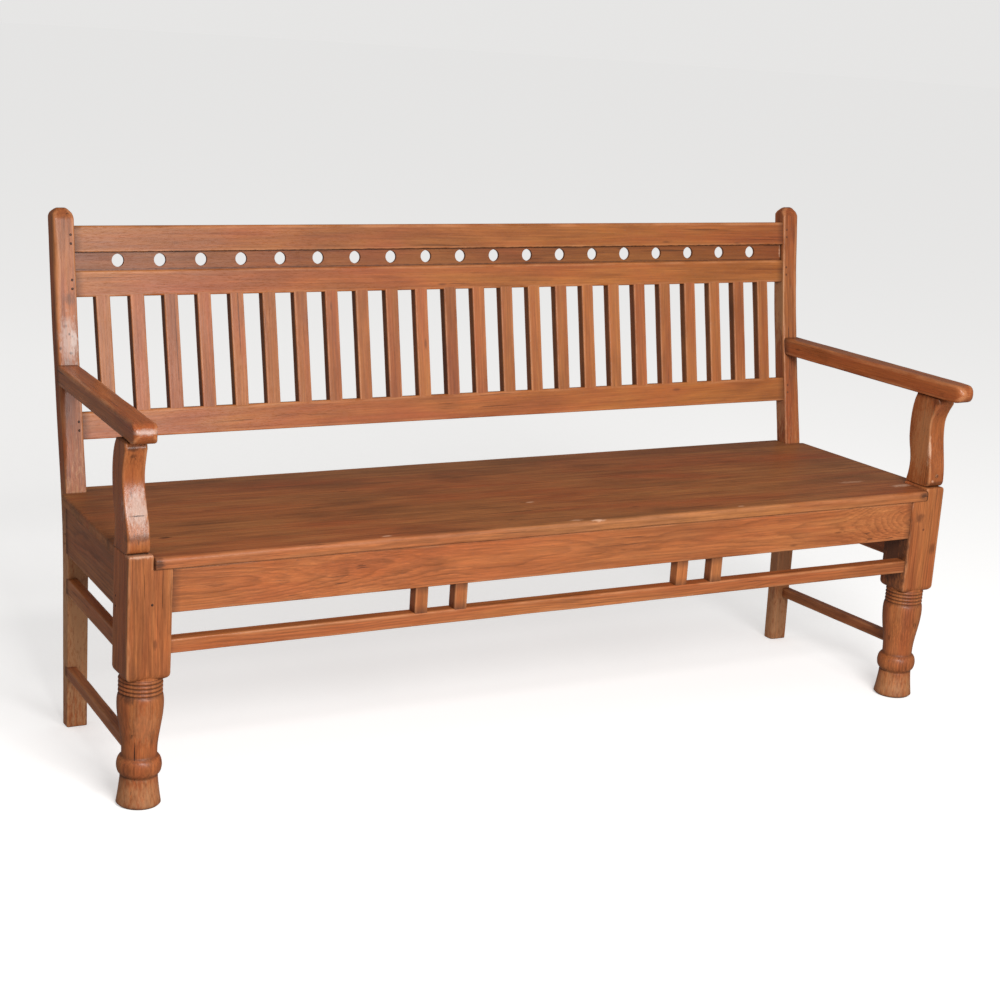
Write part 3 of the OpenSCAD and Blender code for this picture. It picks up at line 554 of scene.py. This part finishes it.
class Cutter:
    """Cuts a CAD node with planes."""

    def __init__(self, node):
        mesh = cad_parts[node].data
        points = np.empty(len(mesh.vertices) * 3)
        pairs = np.empty(len(mesh.edges) * 2, dtype=np.int64)
        mesh.vertices.foreach_get("co", points)
        mesh.edges.foreach_get("vertices", pairs)
        points = points.reshape(-1, 3)
        self.starts, self.ends = points[pairs[0::2]], points[pairs[1::2]]

    def outline(self, origin, along, across, up):
        """The cut's points, as distances from origin along across and up."""
        before = (self.starts - np.array(origin)) @ np.array(along)
        behind = (self.ends - np.array(origin)) @ np.array(along)
        hit = (before <= 0) != (behind <= 0)
        share = (before[hit] / (before[hit] - behind[hit]))[:, None]
        cut = self.starts[hit] + (self.ends[hit] - self.starts[hit]) * share - np.array(origin)
        return cut @ np.array(across), cut @ np.array(up)

    def corners(self, origin, along, across, up):
        """The four corners of a roughly rectangular cut, anticlockwise round along."""
        u, v = self.outline(origin, along, across, up)
        picks = (np.argmin(u + v), np.argmax(u - v), np.argmax(u + v), np.argmin(u - v))
        return [Vector((u[k], v[k])) for k in picks]


def softened(corners, radii, side_cuts):
    """A four-cornered outline with rounded corners: points, how worn each is, and its side."""
    shortest = min((corners[k] - corners[k - 1]).length for k in range(4))
    radii = [min(r, 0.45 * shortest) for r in radii]
    outline = []
    for k in range(4):
        corner, behind, ahead = corners[k], corners[k - 1], corners[(k + 1) % 4]
        start = corner + (behind - corner).normalized() * radii[k]
        end = corner + (ahead - corner).normalized() * radii[k]
        for step in range(ARC_STEPS + 1):
            t = step / ARC_STEPS
            spot = start * (1 - t) ** 2 + corner * 2 * t * (1 - t) + end * t ** 2
            outline.append((spot, 1.0, None))
        far_end = ahead + (corner - ahead).normalized() * radii[(k + 1) % 4]
        near = min(0.3, EDGE_FALLOFF / max((far_end - end).length, 1e-6))
        inner = [near + (1 - 2 * near) * i / (side_cuts[k] + 1) for i in range(side_cuts[k] + 2)]
        outline += [(end.lerp(far_end, share), 0.0, k) for share in inner]
    return outline


def spaced(length):
    """Distances along a member. The rows next to its ends keep the end faces from shading its sides."""
    count = max(2, round(length / ROW_STEP))
    inner = [length * k / count for k in range(1, count)]
    return [0.0, END_ROW, *inner, length - END_ROW, length]


def drawn_in(corners, inset):
    """The outline's corners, each moved towards the middle along both of its sides."""
    middle = sum(corners, Vector((0, 0))) / 4
    moved = []
    for corner in corners:
        offset = corner - middle
        wide, tall = (max(abs(value) - inset, 0.2 * MM) for value in offset)
        moved.append(middle + Vector((math.copysign(wide, offset.x), math.copysign(tall, offset.y))))
    return moved


def dirt_near(distance, length, grimy):
    reaches = [max(gap, 0) for gap, dirty in zip((distance, length - distance), grimy) if dirty]
    return max([0.8 * math.exp(-reach / GRIME_REACH) for reach in reaches], default=0.0)


def loft(skin, rows, place, radii, grimy=(True, True), reach=(0.0, 0.0), wobble=0.25 * MM, chips=(),
         skew=None, rough_sides=()):
    """Skins a member. rows are (distance, inset); place(distance) gives origin, axes and corners.

    radii are the four corners' radii, or a function of the distance that gives them. chips are
    (distance, corner, span, depth) where an arris has lost a piece. skew(distance, spot) is how far
    a point moves along the member, for ends that aren't square. reach is how far the member runs
    on into its neighbours. rough_sides are the sides that were never rubbed clean.
    """
    corners = place(rows[len(rows) // 2][0])[-1]
    side_cuts = [int((corners[(k + 1) % 4] - corners[k]).length / SIDE_STEP) for k in range(4)]
    length = rows[-1][0]
    rings = []
    for distance, inset in rows:
        origin, along, across, up, corners = place(distance)
        if inset:
            corners = drawn_in(corners, inset)
        base = radii(distance) if callable(radii) else radii
        worn_radii = []
        for k, radius in enumerate(base):
            uneven = noise.noise(Vector((distance * 11, k * 7.7, skin.seed)))
            fine = noise.noise(Vector((distance * 47, k * 3.1, skin.seed + 5)))
            radius *= 1 + 0.45 * uneven + 0.25 * max(0, fine)
            for chip_at, chip_corner, span, depth in chips:
                if chip_corner == k:
                    radius += depth * math.exp(-((distance - chip_at) / span) ** 2)
            worn_radii.append(radius)
        dirt = dirt_near(distance - reach[0], length - reach[0] - reach[1], grimy)
        outline = softened(corners, worn_radii, side_cuts)
        ring = []
        for k, (spot, worn, face) in enumerate(outline):
            soil = max(dirt, 0.62) if face in rough_sides else dirt
            ahead, behind = outline[(k + 1) % len(outline)][0], outline[k - 1][0]
            tangent = (ahead - behind).normalized()
            sway = noise.noise(Vector((distance * 6 + skin.seed, spot.x * 22, spot.y * 22)))
            spot = spot + Vector((-tangent.y, tangent.x)) * wobble * (0.5 + 0.5 * sway)
            point = origin + across * spot.x + up * spot.y
            if skew:
                point = point + along * skew(distance, spot)
            ring.append(skin.add(point, distance, spot.x, spot.y, worn, soil))
        rings.append(ring)
    for first, second in zip(rings, rings[1:]):
        skin.bridge(first, second)
    skin.cap(rings[0], reverse=True)
    skin.cap(rings[-1])


def straight_member(node, slot, axis, span, radii, reach=(4 * MM, 4 * MM), grimy=(True, True),
                    pith=None, drift=(0.0, 0.0), bends=(), tone=None, follow=0.0, rear_slope=0.0,
                    wobble=0.25 * MM, rough_sides=(), shrink=0.0, plan_round=0.0):
    """A member that runs straight between the two ends of span on an axis, as that node does.

    Its section is the node's in the middle, or for the first follow metres the node's own there.
    It runs on by reach at each end, into its neighbours. rear_slope is the rake of the face
    that its high end meets. plan_round rounds its low end's corners, as seen from above.
    """
    cutter = Cutter(node)
    low, high = span
    unit, above = (X, Y, Z)[axis], UPRIGHT[axis]
    aside = above.cross(unit)
    centres = []
    for value in (low + (high - low) * 0.3, low + (high - low) * 0.7):
        u, v = cutter.outline(unit * value, unit, aside, above)
        centres.append(unit * value + aside * (u.min() + u.max()) / 2 + above * (v.min() + v.max()) / 2)
    along = (centres[1] - centres[0]).normalized()
    across = above.cross(along).normalized()
    up = along.cross(across)
    origin = centres[0] + along * ((low - centres[0][axis]) / along[axis])
    length = (high - low) / along[axis]
    middle_corners = cutter.corners(origin + along * (0.5 * length), along, across, up)

    def place(distance):
        at = distance - reach[0]
        corners = middle_corners
        if at < follow:
            corners = cutter.corners(origin + along * max(at, JUST_INSIDE), along, across, up)
        if plan_round and at < plan_round:
            narrowing = plan_round - math.sqrt(plan_round ** 2 - (plan_round - max(at, 0)) ** 2)
            corners = [Vector((c.x - math.copysign(narrowing, c.x), c.y)) for c in corners]
        return origin + along * at, along, across, up, corners

    total = length + reach[0] + reach[1]

    def skew(distance, spot):
        share = min(max((distance - total + 60 * MM) / (60 * MM), 0), 1)
        return rear_slope * share * spot.y

    skin = Skin(pith, drift, tone, bends)
    distances = spaced(total)
    if follow:
        nose = [at * MM for at in (0, 0.5, 1.4, 2.8, 4.6, 7, 10, 14, 19)]
        distances = nose + [distance for distance in distances if distance > 23 * MM]
    rows = [(distance, shrink) for distance in distances]
    loft(skin, rows, place, radii, grimy, reach, wobble, skew=skew if rear_slope else None,
         rough_sides=rough_sides)
    return skin.finish(node + "_timber", [node], slot)


# ------------------------------------------------------------------ the pew

def mirrored(side, outer, inner):
    """An upright's corner radii on that side, from (front, rear) pairs for its outer and inner face."""
    if side < 0:
        return (outer[0], inner[0], inner[1], outer[1])
    return (inner[0], outer[0], outer[1], inner[1])


def add_rear_post(side, name):
    node = "rear_post_" + name
    cutter = Cutter(node)
    skin = Skin(pith=(side * 0.02, 0.07), drift=(0.004, 0.015))

    def place(height):
        inside = min(max(height, JUST_INSIDE), 959.6 * MM)
        corners = cutter.corners(Z * inside, Z, X, Y)
        middle = sum(corners, Vector((0, 0))) / 4
        return (Vector((middle.x, middle.y, height)), Z, X, Y, [c - middle for c in corners])

    def radii(height):
        above_seat = min(max((height - 0.46) / 0.08, 0), 1)
        top = min(max((height - 0.93) / 0.02, 0), 1)
        outer = (2.5 + 5 * above_seat) * MM
        inner = (2.2 + 0.8 * above_seat) * MM
        outer, inner = max(outer, top * 6 * MM), max(inner, top * 5 * MM)
        if side > 0 and height < 0.105:
            inner = max(inner, 13 * MM * min((0.105 - height) / 0.02, 1))
        return mirrored(side, (outer, 3 * MM), (inner, 2.5 * MM))

    heights = [(0.0, 1.6 * MM), (0.7 * MM, 0.5 * MM), (2 * MM, 0.0)]
    heights += [(0.015 + 0.0175 * k, 0.0) for k in range(53)]
    heights += [(0.9405, 0.0), (0.9438, 0.2 * MM), (0.947, 0.4 * MM), (0.951, 0.5 * MM), (0.9545, 0.6 * MM),
                (0.957, 0.9 * MM), (0.9588, 1.6 * MM), (0.9597, 3 * MM)]
    chips = [(0.10, 0 if side < 0 else 1, 0.006, 3 * MM), (0.70, 1 if side < 0 else 0, 0.01, 2 * MM)]
    loft(skin, heights, place, radii, grimy=(False, False), chips=chips, wobble=0.35 * MM)
    skin.finish(node + "_timber", [node], "leg_wood")


def add_front_leg(side, name):
    node = "front_leg_" + name
    cutter = Cutter(node)
    skin = Skin(pith=(side * -0.045, 0.05), drift=(0.01, 0.006))
    axis = Vector((side * TURNING_X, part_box(node)[0].y + TURNING_SETBACK, 0))

    def place(height):
        corners = cutter.corners(Z * height, Z, X, Y)
        return (Vector((axis.x, axis.y, height)), Z, X, Y, [c - axis.xy for c in corners])

    block = [0.2343, 0.2352, 0.2368, 0.239, 0.242, 0.2458] + [0.25 + 0.02 * k for k in range(9)]
    rows = [(height, 0.0) for height in block + [0.4307, 0.4313, 0.44, 0.449]]
    rows += [(0.4535, 0.3 * MM), (0.4557, 1.1 * MM), (0.4568, 2.4 * MM)]
    loft(skin, rows, place, [2.6 * MM] * 4, grimy=(False, False),
         chips=[(0.29, 0, 0.008, 3 * MM)], wobble=0.35 * MM)

    # The turning, from radii measured on the node
    steps = [0.0003, 0.0012, 0.0025] + [0.004 + 0.003 * k for k in range(67)]
    steps += [0.2047 + 0.0006 * k for k in range(60)]
    rings = []
    for height in steps:
        u, v = cutter.outline(Z * height, Z, X, Y)
        reach = np.hypot(u - axis.x, v - axis.y)
        radius = float(np.percentile(reach, 60)) if height < REEDS_HEAD else NECK_RADIUS
        dirt = 0.6 * math.exp(-height / (6 * MM))
        if REEDS_FOOT < height < REEDS_HEAD:
            groove = min(max((REED_CREST - radius) / REED_DEPTH, 0), 1)
            dirt, radius = 0.9 * groove ** 2, radius - 0.8 * MM * groove
        for crease in CREASES:
            dirt = max(dirt, 0.75 * math.exp(-abs(height - crease) / (2.2 * MM)))
        ring = []
        for k in range(TURNING_SEGMENTS):
            angle = 2 * math.pi * k / TURNING_SEGMENTS
            wear = noise.noise(Vector((math.cos(angle) * 2, math.sin(angle) * 2, height * 30 + skin.seed)))
            dent = noise.noise(Vector((math.cos(angle) * 5, math.sin(angle) * 5, height * 90 + skin.seed)))
            r = radius - 0.3 * MM * (1 + wear) / 2 - 1.2 * MM * max(0, dent - 0.42)
            spot = Vector((r * math.cos(angle), r * math.sin(angle)))
            point = (axis.x + spot.x, axis.y + spot.y, height)
            ring.append(skin.add(point, height, spot.x, spot.y, 0.35 * max(0, wear), dirt))
        rings.append(ring)
    for first, second in zip(rings, rings[1:]):
        skin.bridge(first, second)
    skin.cap(rings[0], reverse=True)
    skin.cap(rings[-1])
    skin.finish(node + "_timber", [node], "leg_wood")


def add_arm_support(side, name):
    node = "arm_support_" + name
    cutter = Cutter(node)
    skin = Skin(pith=(side * -0.06, -0.07), drift=(0.0, 0.02))
    low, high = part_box(node)
    centre = Vector(((low.x + high.x) / 2, (low.y + high.y) / 2))

    def place(height):
        corners = cutter.corners(Z * height, Z, X, Y)
        return (Vector((centre.x, centre.y, height)), Z, X, Y, [c - centre for c in corners])

    heights = [0.4573, 0.4582, 0.46, 0.463, 0.4665, 0.4695, 0.475] + [0.484 + 0.0095 * k for k in range(15)]
    heights += [0.625, 0.632, 0.6375, 0.641, 0.6448]
    beak = 4 * MM if side > 0 else 2 * MM
    chips = [(0.63, 0 if side > 0 else 1, 0.008, beak), (0.53, 1 if side < 0 else 0, 0.012, 1.5 * MM)]
    loft(skin, [(h, 0.0) for h in heights], place, [3 * MM, 3 * MM, 2.6 * MM, 2.6 * MM],
         chips=chips, wobble=0.3 * MM)
    skin.finish(node + "_timber", [node], "arm_wood")


def add_armrest(side, name):
    node = "armrest_" + name
    nose_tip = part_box(node)[0].y + 1.2 * MM

    # The right nose is rounder than the left one
    nose_radius, plan_radius = (3 * MM, 9 * MM) if side < 0 else (11 * MM, 15 * MM)

    def radii(distance):
        behind_nose = min(distance / (40 * MM), 1)
        lower = nose_radius + (4.6 * MM - nose_radius) * behind_nose
        upper = nose_radius + (5.5 * MM - nose_radius) * behind_nose
        return [lower, lower, upper, upper]

    # The armrests' lighter tone is painted sheen, standing in for the sheen on their tops.
    straight_member(
        node, "arm_wood", 1, (nose_tip, ARM_REAR), radii,
        reach=(0.0, 2 * MM), grimy=(False, True), follow=31 * MM, rear_slope=0.205, wobble=0.4 * MM,
        pith=(side * 0.03, -0.10), drift=(0.01, 0.01), plan_round=plan_radius, tone=0.9)


def add_side_members(name):
    reach = (12 * MM, 2 * MM)
    straight_member("side_apron_" + name, "frame_wood", 1, SIDE_APRON_SPAN, [2 * MM] * 4, reach,
                    rear_slope=0.11, pith=(0.09, 0.02))
    straight_member("upper_side_stretcher_" + name, "frame_wood", 1, UPPER_STRETCHER_SPAN, [2.5 * MM] * 4,
                    reach)
    straight_member("lower_side_stretcher_" + name, "frame_wood", 1, LOWER_STRETCHER_SPAN, [3 * MM] * 4,
                    reach)


def add_seat():
    node = "seat_board"
    cutter = Cutter(node)
    low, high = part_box(node)
    skin = Skin(pith=(0.06, -0.16), drift=(0.012, 0.004))
    middle = Vector(((low.y + high.y) / 2, (low.z + high.z) / 2))
    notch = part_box("arm_support_right")[1].x - UPSTAND_WIDTH
    rear_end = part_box("rear_post_right")[1].x + SEAT_OVERHANG
    step = 0.02
    half = [step * k for k in range(int(POST_INNER / step) + 1)]
    tiny = 0.05 * MM

    def span(x):
        """Front and rear of the seat at x."""
        u, v = cutter.outline(X * x, X, Y, Z)
        return u.min(), u.max()

    front, rear = span(0.0)
    leg_rear, post_front = span((notch + rear_end) / 2)[0], span((POST_INNER + notch) / 2)[1]
    slant = (high.x - rear_end) / (post_front - leg_rear)

    # Each station is x, front, rear, inset, and how much it slants with the seat's end.
    right = [(x, front, rear, 0.0, 0.0) for x in half]
    right += [(POST_INNER - tiny, front, rear, 0.0, 0.0), (POST_INNER, front, post_front, 0.0, 0.0)]
    right += [(0.82, front, post_front, 0.0, 0.0), (notch - 4 * MM, front, post_front, 0.0, 0.0)]
    right += [(notch - tiny, front, post_front, 0.0, 0.0), (notch, leg_rear, post_front, 0.0, 0.0)]
    right += [(0.842, leg_rear, post_front, 0.0, 0.4), (0.85, leg_rear, post_front, 0.0, 0.7)]
    right += [(0.8545, leg_rear, post_front, 0.0, 1.0)]
    end = (high.x + rear_end) / 2
    for k in range(1, 5):
        angle = math.radians(22.5 * k)
        radius = 4 * MM
        right.append((end - radius + radius * math.sin(angle), leg_rear, post_front,
                      radius * (1 - math.cos(angle)), 1.0))
    left = [(-x, a, b, inset, slanted) for x, a, b, inset, slanted in reversed(right) if x > 0]
    stations = left + right

    def place(index):
        x, a, b, inset, _ = stations[round(index)]
        a, b = a - middle.x, b - middle.x
        bottom, top = low.z - middle.y, high.z - middle.y
        corners = [Vector((a, bottom)), Vector((b, bottom)), Vector((b, top)), Vector((a, top))]
        return Vector((x, middle.x, middle.y)), X, Y, Z, drawn_in(corners, inset) if inset else corners

    rings, tones = [], []
    corners = place(len(stations) // 2)[-1]
    side_cuts = [int((corners[(k + 1) % 4] - corners[k]).length / SIDE_STEP) for k in range(4)]
    for index, (x, a, b, inset, slanted) in enumerate(stations):
        origin, _, _, _, corners = place(index)
        uneven = [1 + 0.5 * noise.noise(Vector((x * 9, k * 5.0, skin.seed))) for k in range(4)]
        nosing = 6.5 * MM if a < 0.5 * (front + leg_rear) else 3 * MM
        radii = [4 * MM * uneven[0], 2 * MM, 2.4 * MM * uneven[2], nosing * uneven[3]]
        ring = []
        for spot, worn, _ in softened(corners, radii, side_cuts):
            lean = math.copysign(slanted, x) * slant * ((leg_rear + post_front) / 2 - middle.x - spot.x)
            sway = noise.noise(Vector((x * 2.2, spot.x * 7, skin.seed)))
            fine = noise.noise(Vector((x * 9, spot.x * 40, skin.seed)))
            drop = (0.45 * (0.5 + 0.5 * sway) + 0.15 * (0.5 + 0.5 * fine)) * MM if spot.y > 0 else 0.0
            point = (x + lean, origin.y + spot.x, origin.z + spot.y - drop)
            near_back = math.exp(-abs(spot.x + middle.x - post_front) / (14 * MM)) if spot.y > 0 else 0
            near_arm = math.exp(-(notch - abs(x)) / (10 * MM)) if spot.x + middle.x < leg_rear else 0
            on_top = spot.y > 8 * MM and spot.x > front - middle.x + 5 * MM
            tones.append(0.50 if on_top else 0.82)
            ring.append(skin.add(point, x, spot.x, spot.y, 0.7 * worn, 0.5 * max(near_back, near_arm)))
        rings.append(ring)
    for first, second in zip(rings, rings[1:]):
        skin.bridge(first, second)
    skin.cap(rings[0], reverse=True)
    skin.cap(rings[-1])
    skin.tones = tones
    skin.finish("seat_board_timber", [node], "seat_wood")


def add_pierced_strip():
    node = "pierced_strip"
    form = bmesh.new()
    form.from_mesh(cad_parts[node].data)
    bmesh.ops.remove_doubles(form, verts=form.verts, dist=0.001 * MM)
    bmesh.ops.dissolve_limit(form, angle_limit=math.radians(1), verts=form.verts, edges=form.edges)
    sharp = [e for e in form.edges if len(e.link_faces) == 2 and e.calc_face_angle(0) > math.radians(40)]
    bmesh.ops.bevel(form, geom=sharp, offset=0.4 * MM, offset_type="OFFSET", segments=2, profile=0.6,
                    affect="EDGES", clamp_overlap=True)
    bmesh.ops.triangulate(form, faces=[f for f in form.faces if len(f.verts) > 4])
    low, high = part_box(node)
    middle = (low + high) / 2
    skin = Skin(pith=(0.08, 0.05), drift=(0.0, 0.01), tone=0.05)
    form.verts.index_update()
    for vertex in form.verts:
        x, y, z = vertex.co
        skin.add((x, y, z), x, y - middle.y, z - middle.z, 0.0, 0.12)
    skin.faces = [tuple(v.index for v in face.verts) for face in form.faces]
    form.free()
    skin.finish(node + "_timber", [node], "rail_wood")


def add_pegs(node, outward):
    """Worn peg ends in place of a node's pegs. outward(middle) is the way that a peg's end faces."""
    form = bmesh.new()
    form.from_mesh(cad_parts[node].data)
    bmesh.ops.remove_doubles(form, verts=form.verts, dist=0.001 * MM)
    skin = Skin(pith=(0.004, 0.003))
    waiting = set(form.verts)
    while waiting:
        group, edge = set(), [next(v for v in form.verts if v in waiting)]
        while edge:
            vertex = edge.pop()
            if vertex in waiting:
                waiting.discard(vertex)
                group.add(vertex)
                edge += [e.other_vert(vertex) for e in vertex.link_edges]
        spots = np.array([tuple(v.co) for v in sorted(group, key=lambda v: v.index)])
        middle = spots.mean(0)
        axis = Vector(np.linalg.svd(spots - middle, full_matrices=False)[2][0])
        if axis.dot(outward(middle)) < 0:
            axis = -axis
        heights = (spots - middle) @ np.array(axis)
        radius = np.linalg.norm(spots - middle - np.outer(heights, np.array(axis)), axis=1).max()
        side = axis.orthogonal().normalized()
        other = axis.cross(side)
        end = Vector(middle) + axis * float(heights.max())
        rings = []
        for back, share in ((6, 1.0), (0.9, 1.0), (0.35, 0.97), (0.1, 0.84), (0.0, 0.55)):
            ring = []
            for k in range(PEG_SEGMENTS):
                angle = 2 * math.pi * k / PEG_SEGMENTS
                place = (math.cos(angle), math.sin(angle), middle[0] * 30 + middle[2] * 50)
                uneven = noise.noise(Vector(place))
                r = radius * share * (0.97 + 0.06 * uneven)
                u, v = r * math.cos(angle), r * math.sin(angle)
                point = end - axis * (back * MM) + side * u + other * v
                dirty = 0.95 if middle[0] < 0 else 0.15
                rim = 1.0 if node == "arm_peg" and share > 0.8 else 0.0
                ring.append(skin.add(point, -back * MM, u, v, rim, dirty))
            rings.append(ring)
        for first, second in zip(rings, rings[1:]):
            skin.bridge(first, second)
        skin.cap(rings[0], reverse=True)
        skin.cap(rings[-1])
    form.free()
    skin.finish(node + "_timber", [node], "peg_wood")


for side, name in ((-1, "left"), (1, "right")):
    add_rear_post(side, name)
    add_front_leg(side, name)
    add_arm_support(side, name)
    add_armrest(side, name)
    add_side_members(name)
    straight_member("seat_bearer_" + name, "frame_wood", 1, BEARER_SPAN, [2 * MM] * 4)

# A member's four radii belong to its corners, in turn from the lower front one
straight_member("crest_rail", "rail_wood", 0, BACK_SPAN, [2.2 * MM, 3 * MM, 3.5 * MM, 4.5 * MM],
                pith=(0.05, -0.12), drift=(0.0, 0.012))
straight_member("upper_slat_rail", "rail_wood", 0, BACK_SPAN, [3 * MM, 2.5 * MM, 2.5 * MM, 3 * MM],
                pith=(0.08, 0.06), drift=(0.004, 0.01))
straight_member("lower_slat_rail", "rail_wood", 0, BACK_SPAN, [2.5 * MM, 2.5 * MM, 2.5 * MM, 4 * MM],
                pith=(0.10, -0.05), drift=(0.0, -0.014))
for number in range(1, SLATS + 1):
    straight_member(f"slat_{number:02d}", "slat_wood", 2, SLAT_SPAN, [1.8 * MM, 2.2 * MM, 2 * MM, 2 * MM],
                    reach=(5 * MM, 5 * MM), rough_sides=(1, 3), grimy=(False, False))
straight_member("front_apron", "frame_wood", 0, FRONT_SPAN, [3 * MM, 2 * MM, 2 * MM, 2 * MM],
                pith=(0.022, 0.008), drift=(0.0, 0.004), tone=0.62,
                bends=[(0.07, 0.60, -0.026), (1.40, 1.66, 0.034)])
straight_member("rear_seat_rail", "frame_wood", 0, BACK_SPAN, [2 * MM] * 4)
straight_member("front_stretcher", "frame_wood", 0, FRONT_SPAN, [3 * MM, 2 * MM, 2 * MM, 3 * MM],
                reach=(14 * MM, 14 * MM), tone=0.55)
for number in range(1, STRUTS + 1):
    straight_member(f"strut_{number}", "frame_wood", 2, STRUT_SPAN, [1.8 * MM] * 4, shrink=0.5 * MM,
                    reach=(2 * MM, 2 * MM))
add_seat()
add_pierced_strip()
add_pegs("back_pegs", lambda middle: -Y)
add_pegs("seat_frame_pegs", lambda middle: -Y)
add_pegs("arm_peg", lambda middle: -Y)
add_pegs("side_frame_pegs", lambda middle: X * math.copysign(1, middle[0]))

add_studio()
add_camera()
